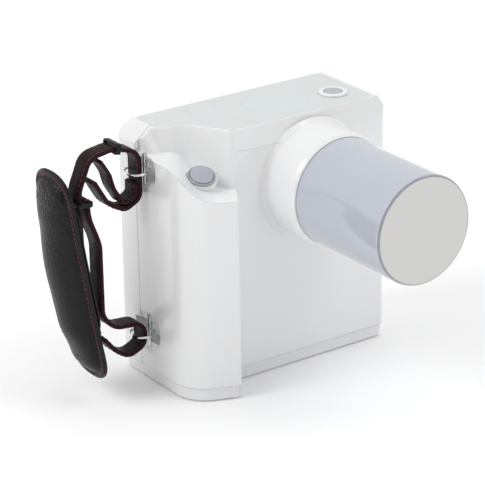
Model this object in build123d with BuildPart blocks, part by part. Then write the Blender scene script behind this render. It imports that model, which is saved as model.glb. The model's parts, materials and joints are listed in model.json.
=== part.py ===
"""Handheld intraoral x-ray unit: case, beam cone, tube head, electronics and leather hand strap.

Millimetres. +Z is up, the beam leaves along -Y, the hand strap is on the -X side.
The origin is the mouth of the tripod socket in the base, under the beam axis.
"""
import os
from math import cos, radians, sin, tan

from build123d import *

os.makedirs("parts", exist_ok=True)

# ---------------------------------------------------------------- driving dimensions
CLEAR = 0.3               # gap between pieces that move past each other
WALL = 2.6                # case wall

CASE_LEFT = -97.5
CASE_RIGHT = 56.6
CASE_FRONT = -30.0
CASE_BACK = 32.5
CASE_TOP = 158.4
BASE_HEIGHT = 8.2         # the base cover is the lowest part of the case
BASE_INSET = 1.3
SEAM_Y = 11.5             # front and rear shells meet here
SEAM_GAP = 0.2

GRIP_EDGE = (-67.4, -50.5)     # sharp inner edge of the finger grip
GRIP_ARC_START = (CASE_LEFT, -23.4)
GRIP_ARC_MIDDLE = (-93.5, -36.2)
GRIP_ARC_END = (-83.0, -44.5)
GRIP_ROOT = (-55.0, CASE_FRONT)

LEFT_BEVEL = (10.0, 9.4)       # run in, drop down
RIGHT_BEVEL = (5.2, 7.9)
FRONT_BEVEL = (3.0, 12.4)
BACK_BEVEL = (2.5, 3.5)

DECK_DIRECTION = (0.8, -0.6)   # the button deck falls this way
DECK_LOW = 125.3
DECK_HIGH = 144.0
DECK_FLAT_S = -30.0            # along the fall line, where the deck levels out
DECK_RADIUS = 32.0
DECK_SLOPE = 45.0
DECK_CREST_RADIUS = 15.0
SCALLOP_Z = 144.0
SCALLOP_LEAN = 15.0

BEAM_Z = 118.4
COLLAR_RADIUS = 35.2
COLLAR_LENGTH = 28.8
CONE_RADIUS = 33.0
CONE_WALL = 2.0
CONE_SPIGOT = 32.6                     # radius of the cone's end inside the collar
CONE_FRONT = -136.3
COLLAR_FRONT = CASE_FRONT - COLLAR_LENGTH
CONE_SHOULDER = COLLAR_FRONT - 0.4
CONE_REAR = -31.5
WEB_BACK = CASE_FRONT + WALL
BEAM_PORT_RADIUS = 16.0

BUTTON_CENTRE = (-75.5, -24.5, 134.5)
BUTTON_NORMAL = (-0.10, -0.40, 0.91)
BUTTON_RADIUS = 7.0
BEZEL_RADIUS = 8.4
BOSS_RADIUS = 9.6
BOSS_BORE = 7.9

POWER_CENTRE = (33.4, -6.7)
POWER_RADIUS = 5.6
POWER_RING = 9.0
POWER_NECK = 7.6

OVERLAY_THICK = 0.5
OVERLAY_INSET = 1.8

PANEL = (-56.0, 16.0, 34.0, 130.0)     # rear panel: low x, high x, low z, high z
WINDOW_CENTRE = (-20.0, 104.0)
WINDOW_SIZE = (54.0, 34.0)
KEY_RADIUS = 5.5
KEY_SPOTS = {
    "key_menu": (-44.0, 70.0),
    "key_up": (-20.0, 72.0),
    "key_set": (4.0, 70.0),
    "key_left": (-32.0, 50.0),
    "key_right": (-8.0, 50.0),
}

STRAP_Y = 4.5
STRAP_WIDTH = 12.0
STRAP_THICK = 2.6
PIN_X = -95.8
PIN_RADIUS = 1.4
RING_INNER = 7.0
RING_WIRE = 1.5
RING_X = PIN_X + PIN_RADIUS + CLEAR - RING_INNER
UPPER_RING_Z = 135.5
LOWER_RING_Z = 32.0
POCKET_Y = (-6.8, 17.0)
POCKET_DEPTH = 7.5
POCKET_HALF_HEIGHT = 6.3
DISH_RADIUS = 13.5
DISH_DEPTH = 1.6
DISH_TAPER = 65.0

SCREW_SPOTS = [(-80.0, 16.0), (46.0, 16.0), (46.0, 145.0), (-74.0, 146.5)]     # x, z
BASE_SCREW_SPOTS = [(-90.2, -17.0), (-90.2, 25.2), (49.4, -22.6), (49.4, 25.2)]  # x, y
FOOT_SPOTS = [(-78.0, 20.0), (-78.0, -30.0), (40.0, 20.0), (40.0, -18.0)]        # x, y
FOOT_HEIGHT = 0.8
FOOT_RECESS = 0.6

SOCKET_Y = 12.0
SOCKET_Z = 32.0
SOCKET_BORE = 2.8
INSERT_RADIUS = 5.0
INSERT_BORE = 2.8
INSERT_DEPTH = 8.0


def save(piece, name):
    """Label one finished piece and write its STEP file."""
    piece.label = name
    export_step(piece, f"parts/{name}.step")


def side_plane(y):
    """A plane facing -Y whose sketch axes are X and Z."""
    return Plane.XZ.offset(-y)


def cylinder_y(x, z, radius, y_from, y_to):
    """A plain rod along Y, used for bosses and the holes in them."""
    with BuildPart() as rod:
        with BuildSketch(side_plane(y_to)):
            with Locations((x, z)):
                Circle(radius)
        extrude(amount=y_to - y_from)
    return rod.part


def cylinder_z(x, y, radius, z_from, z_to):
    """A plain rod along Z."""
    with BuildPart() as rod:
        with BuildSketch(Plane.XY.offset(z_from)):
            with Locations((x, y)):
                Circle(radius)
        extrude(amount=z_to - z_from)
    return rod.part


def block(x_from, x_to, y_from, y_to, z_from, z_to):
    """A plain box between two corners."""
    with BuildPart() as body:
        with BuildSketch(Plane.XY.offset(z_from)):
            with Locations(((x_from + x_to) / 2, (y_from + y_to) / 2)):
                Rectangle(x_to - x_from, y_to - y_from)
        extrude(amount=z_to - z_from)
    return body.part


# ---------------------------------------------------------------- the case form
def case_outline(inset):
    """Plan view of the case: a box with a finger grip swept out at its front left corner."""
    with BuildSketch() as outline:
        with BuildLine():
            Line((CASE_LEFT, CASE_BACK), GRIP_ARC_START)
            ThreePointArc(GRIP_ARC_START, GRIP_ARC_MIDDLE, GRIP_ARC_END)
            Polyline(
                GRIP_ARC_END,
                GRIP_EDGE,
                GRIP_ROOT,
                (CASE_RIGHT, CASE_FRONT),
                (CASE_RIGHT, CASE_BACK),
                (CASE_LEFT, CASE_BACK),
            )
        make_face()
        corners = outline.vertices()
        fillet(corners.sort_by(Axis.Y)[0], radius=1.2)
        fillet(outline.vertices().sort_by_distance((*GRIP_ROOT, 0))[0], radius=4.0)
        fillet(outline.vertices().sort_by_distance((CASE_RIGHT, CASE_FRONT, 0))[0], radius=5.0)
        fillet(outline.vertices().sort_by_distance((CASE_LEFT, CASE_BACK, 0))[0], radius=4.0)
        fillet(outline.vertices().sort_by_distance((CASE_RIGHT, CASE_BACK, 0))[0], radius=4.0)
        if inset > 0:
            offset(amount=-inset, kind=Kind.INTERSECTION)
    return outline.sketch


def end_profile(inset):
    """The case seen along Y, with its two bevelled top corners."""
    top = CASE_TOP - inset
    left = CASE_LEFT + inset
    right = CASE_RIGHT - inset
    with BuildPart() as prism:
        with BuildSketch(side_plane(100)):
            with BuildLine():
                Polyline(
                    (left, -20),
                    (right, -20),
                    (right, top - RIGHT_BEVEL[1]),
                    (right - RIGHT_BEVEL[0], top),
                    (left + LEFT_BEVEL[0], top),
                    (left, top - LEFT_BEVEL[1]),
                    close=True,
                )
            make_face()
        extrude(amount=200)
    return prism.part


def side_profile(inset):
    """The case seen along X: the upper front leans back and the back edge is bevelled."""
    top = CASE_TOP - inset
    front = CASE_FRONT + inset
    back = CASE_BACK - inset
    crease = top - FRONT_BEVEL[1]
    with BuildPart() as prism:
        with BuildSketch(Plane.YZ.offset(-120)):
            with BuildLine():
                Polyline(
                    (-80, -20),
                    (back, -20),
                    (back, top - BACK_BEVEL[1]),
                    (back - BACK_BEVEL[0], top),
                    (front + FRONT_BEVEL[0], top),
                    (front, crease),
                    (-80, crease),
                    close=True,
                )
            make_face()
        extrude(amount=240)
    return prism.part


def scallop_outline(grow, corner=1.5):
    """Plan view of the space over the button deck, pushed outwards by grow."""
    with BuildSketch() as outline:
        with BuildLine():
            wall = FilletPolyline(
                (-20.0, -90.0),
                (-20.0, -33.5),
                (-56.0, -28.5),
                (-73.0, -2.1),
                (-91.8, 2.6),
                (-94.6, 11.0),
                (-130, 11.0),
                radius=[corner, 8.0, 16.0, 5.0, corner],
            )
            Polyline(wall @ 1, (-130, -90), wall @ 0)
        make_face()
        if grow > 0:
            offset(amount=grow)
    return outline.sketch


def scallop_region(grow):
    """Leaning prism over the button deck; its back wall is the scallop above the deck."""
    waist = Plane.XY.offset(SCALLOP_Z)
    with BuildPart() as lower:
        with BuildSketch(waist):
            add(scallop_outline(grow, corner=6.0))
        extrude(amount=22, taper=SCALLOP_LEAN)
        mirror(about=waist, mode=Mode.REPLACE)
    with BuildPart() as region:
        with BuildSketch(waist):
            add(scallop_outline(grow))
        extrude(amount=24, taper=-SCALLOP_LEAN)
        add(lower.part)
    return region.part


def above_deck(lower):
    """Everything above the sloping button deck, whose profile is swept straight across."""
    fall = Plane(origin=(0, 0, 0), x_dir=(*DECK_DIRECTION, 0), z_dir=(-0.6, -0.8, 0))
    turn = radians(DECK_SLOPE)
    low = DECK_LOW - lower
    high = DECK_HIGH - lower
    foot = (DECK_FLAT_S - DECK_RADIUS * sin(turn), low + DECK_RADIUS * (1 - cos(turn)))
    crest_drop = DECK_CREST_RADIUS * (1 - cos(turn))
    rise = high - crest_drop - foot[1]
    crest = (foot[0] - rise / tan(turn), foot[1] + rise)
    crest_end = (crest[0] - DECK_CREST_RADIUS * sin(turn), high)
    with BuildPart() as prism:
        with BuildSketch(fall):
            with BuildLine():
                Line((-200, high), crest_end)
                TangentArc(crest_end, crest, tangent=(1, 0))
                Line(crest, foot)
                TangentArc(foot, (DECK_FLAT_S, low), tangent=(1, -1))
                Polyline((DECK_FLAT_S, low), (80, low), (80, 240), (-200, 240), (-200, high))
            make_face()
        extrude(amount=200, both=True)
    return prism.part


def case_form(inset, floor):
    """The solid shape of the case above the base cover, shrunk by inset for its inside."""
    with BuildPart() as form:
        with BuildSketch(Plane.XY.offset(floor)):
            add(case_outline(inset))
        extrude(amount=CASE_TOP - floor)
        add(end_profile(inset), mode=Mode.INTERSECT)
        add(side_profile(inset), mode=Mode.INTERSECT)
    with BuildPart() as scoop:
        add(scallop_region(inset))
        add(above_deck(inset), mode=Mode.INTERSECT)
    with BuildPart() as scooped:
        add(form.part)
        add(scoop.part, mode=Mode.SUBTRACT)
    return scooped.part


BUTTON_PLANE = Plane(origin=BUTTON_CENTRE, x_dir=(1, 0, 0.11), z_dir=BUTTON_NORMAL)


def button_disc(radius, low, high):
    """A round boss or hole along the exposure button's axis, heights from the button centre."""
    with BuildPart() as disc:
        with BuildSketch(BUTTON_PLANE.offset(low)):
            Circle(radius)
        extrude(amount=high - low)
    return disc.part


def collar_form():
    """Rounded white collar around the root of the cone, revolved about the beam."""
    shoulder = 5.0
    with BuildPart() as collar:
        with BuildSketch(Plane.XY.offset(BEAM_Z)):
            with BuildLine():
                Polyline(
                    (0, CASE_FRONT + 1),
                    (COLLAR_RADIUS + 2.5, CASE_FRONT + 1),
                    (COLLAR_RADIUS + 2.5, CASE_FRONT),
                )
                Line((COLLAR_RADIUS + 2.5, CASE_FRONT), (COLLAR_RADIUS, CASE_FRONT - 3))
                Line((COLLAR_RADIUS, CASE_FRONT - 3), (COLLAR_RADIUS, COLLAR_FRONT + shoulder))
                TangentArc(
                    (COLLAR_RADIUS, COLLAR_FRONT + shoulder),
                    (CONE_RADIUS + 0.4, COLLAR_FRONT),
                    tangent=(0, -1),
                )
                Polyline((CONE_RADIUS + 0.4, COLLAR_FRONT), (0, COLLAR_FRONT), (0, CASE_FRONT + 1))
            make_face()
        revolve(axis=Axis((0, 0, BEAM_Z), (0, 1, 0)))
    return collar.part


def make_case():
    """Front and rear shells, cut from one form so that their seam matches."""
    with BuildPart() as inside:
        add(case_form(WALL, BASE_HEIGHT - 1))
        for x, z in SCREW_SPOTS:
            add(cylinder_y(x, z, 4.2, -60, 60), mode=Mode.SUBTRACT)
        for x, y in BASE_SCREW_SPOTS:
            add(cylinder_z(x, y, 5.2, 0, 26), mode=Mode.SUBTRACT)
        for z in (UPPER_RING_Z, LOWER_RING_Z):
            half = POCKET_HALF_HEIGHT + 5
            housing = block(CASE_LEFT, CASE_LEFT + POCKET_DEPTH + 2.5, POCKET_Y[0] - 2.5,
                            POCKET_Y[1] + 2.5, z - half, z + half)
            add(housing, mode=Mode.SUBTRACT)
        add(button_disc(BOSS_RADIUS, -7, 4), mode=Mode.SUBTRACT)

    with BuildPart() as whole:
        add(case_form(0, BASE_HEIGHT))
        add(button_disc(BOSS_RADIUS, -8, 0))
        add(collar_form())
        add(inside.part, mode=Mode.SUBTRACT)
        # cone bore and beam port
        add(cylinder_y(0, BEAM_Z, CONE_SPIGOT + 0.1, COLLAR_FRONT - 1, CONE_REAR + 0.3), mode=Mode.SUBTRACT)
        add(cylinder_y(0, BEAM_Z, BEAM_PORT_RADIUS, -40, -20), mode=Mode.SUBTRACT)
        for x, z in cone_screw_spots():
            add(cylinder_y(x, z, 1.7, -40, -20), mode=Mode.SUBTRACT)
        # exposure button bore, power button hole, overlay recess
        add(button_disc(BOSS_BORE, -20, 6), mode=Mode.SUBTRACT)
        add(button_disc(BEZEL_RADIUS + CLEAR, 0, 14), mode=Mode.SUBTRACT)
        add(cylinder_z(*POWER_CENTRE, POWER_NECK + 0.2, 150, 170), mode=Mode.SUBTRACT)
        with BuildSketch(Plane.XY.offset(CASE_TOP - OVERLAY_THICK)):
            add(top_outline(OVERLAY_INSET - 0.1))
        extrude(amount=2, mode=Mode.SUBTRACT)
        # strap pockets with their shallow dishes and pin holes
        for z in (UPPER_RING_Z, LOWER_RING_Z):
            pocket = block(CASE_LEFT - 5, CASE_LEFT + POCKET_DEPTH, *POCKET_Y,
                           z - POCKET_HALF_HEIGHT, z + POCKET_HALF_HEIGHT)
            add(pocket, mode=Mode.SUBTRACT)
            with BuildSketch(Plane.YZ.offset(CASE_LEFT)):
                with Locations((STRAP_Y - 1, z)):
                    Circle(DISH_RADIUS)
            extrude(amount=DISH_DEPTH, taper=DISH_TAPER, mode=Mode.SUBTRACT)
            reach = POCKET_HALF_HEIGHT + 3.5
            add(cylinder_z(PIN_X, STRAP_Y, PIN_RADIUS + 0.05, z - reach, z + reach), mode=Mode.SUBTRACT)
        # screw holes
        for x, z in SCREW_SPOTS:
            add(cylinder_y(x, z, 3.2, CASE_BACK - 4.5, CASE_BACK + 5), mode=Mode.SUBTRACT)
            add(cylinder_y(x, z, 1.6, SEAM_Y - 9, CASE_BACK), mode=Mode.SUBTRACT)
        for x, y in BASE_SCREW_SPOTS:
            add(cylinder_z(x, y, 1.6, BASE_HEIGHT - 1, BASE_HEIGHT + 12), mode=Mode.SUBTRACT)
        # rear panel recess with window and key holes
        x0, x1, z0, z1 = PANEL
        with BuildSketch(side_plane(CASE_BACK + 1)):
            with Locations(((x0 + x1) / 2, (z0 + z1) / 2)):
                RectangleRounded(x1 - x0, z1 - z0, 6)
        extrude(amount=2.0, mode=Mode.SUBTRACT)
        with BuildSketch(side_plane(CASE_BACK + 1)):
            with Locations(WINDOW_CENTRE):
                RectangleRounded(WINDOW_SIZE[0] - 4, WINDOW_SIZE[1] - 4, 2)
            for spot in KEY_SPOTS.values():
                with Locations(spot):
                    Circle(KEY_RADIUS + CLEAR)
        extrude(amount=8, mode=Mode.SUBTRACT)
        # charge socket hole in the right wall
        with BuildSketch(Plane.YZ.offset(CASE_RIGHT + 2)):
            with Locations((SOCKET_Y, SOCKET_Z)):
                Circle(5.2)
        extrude(amount=-8, mode=Mode.SUBTRACT)

    with BuildPart() as front_shell:
        add(whole.part)
        split(bisect_by=Plane.XZ.offset(-(SEAM_Y - SEAM_GAP / 2)), keep=Keep.TOP)
    with BuildPart() as rear_shell:
        add(whole.part)
        split(bisect_by=Plane.XZ.offset(-(SEAM_Y + SEAM_GAP / 2)), keep=Keep.BOTTOM)
    save(front_shell.part, "front_shell")
    save(rear_shell.part, "rear_shell")


def top_outline(inset):
    """Outline of the flat top of the case, pulled in by inset."""
    left = CASE_LEFT + LEFT_BEVEL[0] + inset
    right = CASE_RIGHT - RIGHT_BEVEL[0] - inset
    front = CASE_FRONT + FRONT_BEVEL[0] + inset
    back = CASE_BACK - BACK_BEVEL[0] - inset
    lean = (CASE_TOP - SCALLOP_Z) * tan(radians(SCALLOP_LEAN))
    with BuildSketch() as outline:
        with Locations(((left + right) / 2, (front + back) / 2)):
            Rectangle(right - left, back - front)
        add(scallop_outline(lean + inset), mode=Mode.SUBTRACT)
        fillet(outline.vertices().group_by(Axis.X)[-1], radius=4.0)
        fillet(outline.vertices().group_by(Axis.X)[0], radius=2.0)
    return outline.sketch


def make_overlay():
    """Thin printed sheet let into the top of the case."""
    with BuildPart() as overlay:
        with BuildSketch(Plane.XY.offset(CASE_TOP - OVERLAY_THICK)):
            add(top_outline(OVERLAY_INSET))
            with Locations(POWER_CENTRE):
                Circle(POWER_NECK + 0.2, mode=Mode.SUBTRACT)
        extrude(amount=OVERLAY_THICK)
    save(overlay.part, "top_overlay")


def make_base():
    """Base cover that closes the case, with its screws, feet and tripod insert."""
    with BuildPart() as base_cover:
        with BuildSketch():
            add(case_outline(BASE_INSET))
        extrude(amount=BASE_HEIGHT - 0.15)
        chamfer(base_cover.faces().sort_by(Axis.Z)[0].outer_wire().edges(), length=0.6)
        with BuildSketch(Plane.XY.offset(3.0)):
            add(case_outline(BASE_INSET + 3.0))
            for x, y in BASE_SCREW_SPOTS:
                with Locations((x, y)):
                    Circle(5.0, mode=Mode.SUBTRACT)
            Circle(9.0, mode=Mode.SUBTRACT)
        extrude(amount=10, mode=Mode.SUBTRACT)
        with BuildSketch():
            with Locations(*FOOT_SPOTS):
                Circle(5.6)
        extrude(amount=FOOT_RECESS, mode=Mode.SUBTRACT)
        for x, y in BASE_SCREW_SPOTS:
            add(cylinder_z(x, y, 3.2, -1, 3.4), mode=Mode.SUBTRACT)
            add(cylinder_z(x, y, 1.6, 0, 12), mode=Mode.SUBTRACT)
        add(cylinder_z(0, 0, INSERT_RADIUS, -1, 12), mode=Mode.SUBTRACT)
    save(base_cover.part, "base_cover")

    with BuildPart() as tripod_insert:
        with BuildSketch():
            Circle(INSERT_RADIUS)
            Circle(INSERT_BORE, mode=Mode.SUBTRACT)
        extrude(amount=INSERT_DEPTH)
    save(tripod_insert.part, "tripod_insert")

    with BuildPart() as rubber_feet:
        with BuildSketch(Plane.XY.offset(-FOOT_HEIGHT)):
            with Locations(*FOOT_SPOTS):
                Circle(5.5)
        extrude(amount=FOOT_HEIGHT + FOOT_RECESS)
        chamfer(rubber_feet.faces().filter_by(Axis.Z).group_by(Axis.Z)[0].edges(), length=0.4)
    save(rubber_feet.part, "rubber_feet")

    with BuildPart() as base_screws:
        for x, y in BASE_SCREW_SPOTS:
            add(cylinder_z(x, y, 2.8, 1.2, 3.4))
            add(cylinder_z(x, y, 1.5, 3.4, 18.0))
            with BuildSketch(Plane.XY.offset(1.2)):
                with Locations((x, y)):
                    Rectangle(3.6, 0.8)
                    Rectangle(0.8, 3.6)
            extrude(amount=1.0, mode=Mode.SUBTRACT)
    save(base_screws.part, "base_screws")


def make_case_screws():
    """Four screws that draw the rear shell onto the front shell's columns."""
    head_back = CASE_BACK - 2.3
    with BuildPart() as case_screws:
        for x, z in SCREW_SPOTS:
            add(cylinder_y(x, z, 2.8, CASE_BACK - 4.5, head_back))
            add(cylinder_y(x, z, 1.5, SEAM_Y - 8, CASE_BACK - 4.5))
            with BuildSketch(side_plane(head_back)):
                with Locations((x, z)):
                    Rectangle(3.6, 0.8)
                    Rectangle(0.8, 3.6)
            extrude(amount=1.0, mode=Mode.SUBTRACT)
    save(case_screws.part, "case_screws")


# ---------------------------------------------------------------- the beam cone
def cone_screw_spots():
    """Three screws around the beam port, as x and z."""
    ring = 23.5
    return [(ring * cos(radians(a)), BEAM_Z + ring * sin(radians(a))) for a in (30, 150, 270)]


def revolved_ring(outer, inner, y_from, y_to):
    """A flat ring about the beam axis."""
    with BuildPart() as ring:
        with BuildSketch(side_plane(y_to)):
            with Locations((0, BEAM_Z)):
                Circle(outer)
                if inner > 0:
                    Circle(inner, mode=Mode.SUBTRACT)
        extrude(amount=y_to - y_from)
    return ring.part


def make_cone():
    """Open-ended cone tube, its end cap, the retaining ring and the beam-shaping discs."""
    inner = CONE_RADIUS - CONE_WALL
    cap_lip = 1.2
    with BuildPart() as cone_tube:
        add(revolved_ring(CONE_RADIUS, inner, CONE_FRONT + cap_lip + 0.05, CONE_SHOULDER))
        add(revolved_ring(CONE_SPIGOT, inner, CONE_SHOULDER, CONE_REAR))
        rims = cone_tube.edges().filter_by(GeomType.CIRCLE).group_by(Axis.Y)[0]
        fillet(rims.sort_by(SortBy.RADIUS)[-1], radius=0.6)
    save(cone_tube.part, "cone_tube")

    with BuildPart() as cone_end_cap:
        add(revolved_ring(CONE_RADIUS - 0.6, 0, CONE_FRONT, CONE_FRONT + cap_lip))
        fillet(cone_end_cap.edges().filter_by(GeomType.CIRCLE).group_by(Axis.Y)[0], radius=0.4)
        add(revolved_ring(inner - 0.05, inner - 2.0, CONE_FRONT + cap_lip, CONE_FRONT + 9))
    save(cone_end_cap.part, "cone_end_cap")

    with BuildPart() as cone_lining:
        add(revolved_ring(inner - 0.1, inner - 0.7, CONE_FRONT + 9.3, CONE_REAR - 6.3))
    save(cone_lining.part, "cone_lead_lining")

    with BuildPart() as cone_ring:
        add(revolved_ring(inner - 0.1, 18.0, CONE_REAR - 6.0, CONE_REAR))
        for x, z in cone_screw_spots():
            add(cylinder_y(x, z, 1.35, CONE_REAR - 7, CONE_REAR + 1), mode=Mode.SUBTRACT)
    save(cone_ring.part, "cone_retaining_ring")

    with BuildPart() as cone_screws:
        for x, z in cone_screw_spots():
            add(cylinder_y(x, z, 1.25, CONE_REAR - 5.5, WEB_BACK))
            add(cylinder_y(x, z, 2.6, WEB_BACK, WEB_BACK + 1.8))
    save(cone_screws.part, "cone_screws")

    save(revolved_ring(15.7, 0, -31.0, -30.0), "beam_filter")
    save(revolved_ring(15.7, 6.0, -29.8, -27.6), "lead_diaphragm")


# ---------------------------------------------------------------- buttons
def make_exposure_button():
    """Domed exposure button in its silver bezel, on the boss of the grip."""
    with BuildPart() as bezel:
        add(button_disc(BEZEL_RADIUS, 0.0, 1.6))
        chamfer(bezel.faces().sort_by(Axis(BUTTON_CENTRE, BUTTON_NORMAL))[-1].edges(), length=0.5)
        add(button_disc(BOSS_BORE - 0.1, -6, 0.1))
        add(button_disc(BUTTON_RADIUS + CLEAR, -8, 3), mode=Mode.SUBTRACT)
    save(bezel.part, "exposure_bezel")

    crown = 1.1
    dome_radius = (BUTTON_RADIUS ** 2 + crown ** 2) / (2 * crown)
    rim = 1.9
    with BuildPart() as button:
        with BuildSketch(Plane(BUTTON_PLANE.origin, x_dir=BUTTON_PLANE.x_dir, z_dir=BUTTON_PLANE.y_dir)):
            # this sketch plane holds the button's axis along its -Y direction
            with BuildLine():
                Line((0, 5), (BUTTON_RADIUS - 1.5, 5))
                Line((BUTTON_RADIUS - 1.5, 5), (BUTTON_RADIUS - 1.5, 1.5))
                Line((BUTTON_RADIUS - 1.5, 1.5), (BUTTON_RADIUS, 1.5))
                Line((BUTTON_RADIUS, 1.5), (BUTTON_RADIUS, -rim))
                RadiusArc((BUTTON_RADIUS, -rim), (0, -rim - crown), dome_radius)
                Line((0, -rim - crown), (0, 5))
            make_face()
        revolve(axis=Axis(BUTTON_CENTRE, BUTTON_NORMAL))
    save(button.part, "exposure_button")

    with BuildPart() as switch:
        with BuildSketch(BUTTON_PLANE.offset(-11.5)):
            RectangleRounded(9, 9, 1)
        extrude(amount=3.6)
        with BuildSketch(BUTTON_PLANE.offset(-7.9)):
            Circle(1.7)
        extrude(amount=1.3)
        with BuildSketch(BUTTON_PLANE.offset(-13.0)):
            RectangleRounded(13, 11, 1)
        extrude(amount=1.5)
    save(switch.part, "exposure_switch")


def make_power_button():
    """Round power button in a white ring on top of the case."""
    x, y = POWER_CENTRE
    with BuildPart() as bezel:
        add(cylinder_z(x, y, POWER_RING, CASE_TOP, CASE_TOP + 1.3))
        top_edge = bezel.faces().sort_by(Axis.Z)[-1].edges()
        fillet(top_edge, radius=0.8)
        add(cylinder_z(x, y, POWER_NECK, CASE_TOP - 4.5, CASE_TOP + 0.2))
        add(cylinder_z(x, y, POWER_RADIUS + CLEAR, CASE_TOP - 6, CASE_TOP + 3), mode=Mode.SUBTRACT)
    save(bezel.part, "power_bezel")

    with BuildPart() as button:
        add(cylinder_z(x, y, POWER_RADIUS, CASE_TOP - 3.2, CASE_TOP + 0.9))
        fillet(button.faces().sort_by(Axis.Z)[-1].edges(), radius=0.5)
        add(cylinder_z(x, y, 1.8, CASE_TOP - 5.2, CASE_TOP - 3.2))
    save(button.part, "power_button")

    with BuildPart() as switch:
        add(block(x - 10, x + 6, y - 8, y + 8, 147.4, 148.6))
        add(block(x - 4, x + 4, y - 4, y + 4, 148.6, 151.4))
        add(cylinder_z(x, y, 1.4, 151.4, 152.2))
    save(switch.part, "power_switch")


# ---------------------------------------------------------------- rear panel
def make_rear_panel():
    """Rear keypad panel, display window and module, keys and the key board behind them."""
    x0, x1, z0, z1 = PANEL
    with BuildPart() as panel:
        with BuildSketch(side_plane(CASE_BACK)):
            with Locations(((x0 + x1) / 2, (z0 + z1) / 2)):
                RectangleRounded(x1 - x0 - 0.3, z1 - z0 - 0.3, 5.85)
            with Locations(WINDOW_CENTRE):
                RectangleRounded(*WINDOW_SIZE, 3, mode=Mode.SUBTRACT)
            for spot in KEY_SPOTS.values():
                with Locations(spot):
                    Circle(KEY_RADIUS + CLEAR, mode=Mode.SUBTRACT)
        extrude(amount=1.0)
    save(panel.part, "rear_panel")

    with BuildPart() as window:
        with BuildSketch(side_plane(CASE_BACK + 0.1)):
            with Locations(WINDOW_CENTRE):
                RectangleRounded(WINDOW_SIZE[0] - 0.2, WINDOW_SIZE[1] - 0.2, 2.9)
        extrude(amount=1.1)
    save(window.part, "display_window")

    wx, wz = WINDOW_CENTRE
    with BuildPart() as module:
        add(block(wx - 29, wx + 29, 24.6, 29.0, wz - 18, wz + 18))
        add(block(wx - 24, wx + 24, 29.0, 30.6, wz - 14, wz + 14))
    save(module.part, "display_module")

    with BuildPart() as board:
        add(block(-54, 14, 25.4, 27.0, 42, 80))
        for x, z in KEY_SPOTS.values():
            add(block(x - 3, x + 3, 27.0, 27.5, z - 3, z + 3))
    save(board.part, "key_board")

    for name, (x, z) in KEY_SPOTS.items():
        with BuildPart() as key:
            add(cylinder_y(x, z, KEY_RADIUS, 28.4, CASE_BACK + 1.4))
            fillet(key.faces().sort_by(Axis.Y)[-1].edges(), radius=0.6)
            add(cylinder_y(x, z, KEY_RADIUS + 1.0, 28.4, 29.4))
        save(key.part, name)


# ---------------------------------------------------------------- tube head and electronics
def make_tube_head():
    """Oil-filled tank with the x-ray tube inside, lying across the beam."""
    x0, x1, y0, y1, z0, z1 = -36.0, 36.0, -24.5, 19.0, 88.0, 147.0
    with BuildPart() as tank:
        add(block(x0, x1, y0, y1, z0, z1))
        add(block(x0 + 3, x1 - 3, y0 + 3, y1 + 1, z0 + 3, z1 - 3), mode=Mode.SUBTRACT)
        add(cylinder_y(0, BEAM_Z, 9, y0 - 1, y0 + 4), mode=Mode.SUBTRACT)
    save(tank.part, "tube_head_tank")
    save(block(x0, x1, y1, y1 + 2.5, z0, z1), "tank_lid")
    save(cylinder_y(0, BEAM_Z, 8.9, y0 + 0.4, y0 + 2.6), "beam_window")

    tube_y = -2.0
    across = Plane.YZ.offset(-27)
    with BuildPart() as glass:
        with BuildSketch(across):
            with Locations((tube_y, BEAM_Z)):
                Circle(13)
        extrude(amount=54)
        offset(amount=-1.2, openings=glass.faces().sort_by(Axis.X)[-1])
    save(glass.part, "xray_tube_glass")
    with BuildPart() as anode:
        with BuildSketch(Plane.YZ.offset(3)):
            with Locations((tube_y, BEAM_Z)):
                Circle(7)
        extrude(amount=27)
        with BuildSketch(Plane.XY.offset(BEAM_Z - 10)):
            with BuildLine():
                Polyline((2, tube_y - 8), (2, tube_y + 8), (8, tube_y - 8), close=True)
            make_face()
        extrude(amount=20, mode=Mode.SUBTRACT)
    save(anode.part, "copper_anode")
    with BuildPart() as cathode:
        with BuildSketch(Plane.YZ.offset(-24)):
            with Locations((tube_y, BEAM_Z)):
                Circle(5)
        extrude(amount=14)
        with BuildSketch(Plane.YZ.offset(-10)):
            with Locations((tube_y, BEAM_Z)):
                Rectangle(2, 6)
        extrude(amount=-2, mode=Mode.SUBTRACT)
    save(cathode.part, "cathode_cup")


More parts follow.
